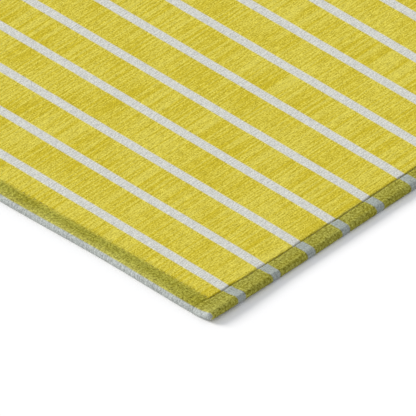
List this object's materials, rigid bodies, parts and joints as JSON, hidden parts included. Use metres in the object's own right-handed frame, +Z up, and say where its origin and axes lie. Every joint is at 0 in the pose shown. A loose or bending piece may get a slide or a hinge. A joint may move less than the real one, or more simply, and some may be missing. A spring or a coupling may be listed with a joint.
{
  "type": "rug",
  "caption": "Striped accent rug with turned, topstitched hems round a felt pad and a non-slip dotted backing; it lies flat and softens a floor.",
  "frame": {"origin": "middle of the underside, on the surface that the rug lies on", "axes": "+X along the stripes and the rug's width, +Y along the rug's length, across the stripes, +Z up"},
  "size_m": [0.762, 1.1684, 0.008],
  "materials": {
    "face_cloth": "ribbed chenille, yellow with thin off-white stripes",
    "felt": "needled felt",
    "backing": "plain-woven scrim",
    "grip_rubber": "matt",
    "label": "woven satin, blank",
    "needle_thread": "twisted polyester",
    "bobbin_thread": "twisted polyester"
  },
  "bodies": {
    "root": {"face_cloth": "face_cloth", "felt_pad": "felt", "backing_sheet": "backing", "grip_dots": "grip_rubber", "care_label": "label", "needle_thread_front": "needle_thread", "needle_thread_right": "needle_thread", "needle_thread_back": "needle_thread", "needle_thread_left": "needle_thread", "bobbin_thread_front": "bobbin_thread", "bobbin_thread_right": "bobbin_thread", "bobbin_thread_back": "bobbin_thread", "bobbin_thread_left": "bobbin_thread"}
  },
  "joints": []
}
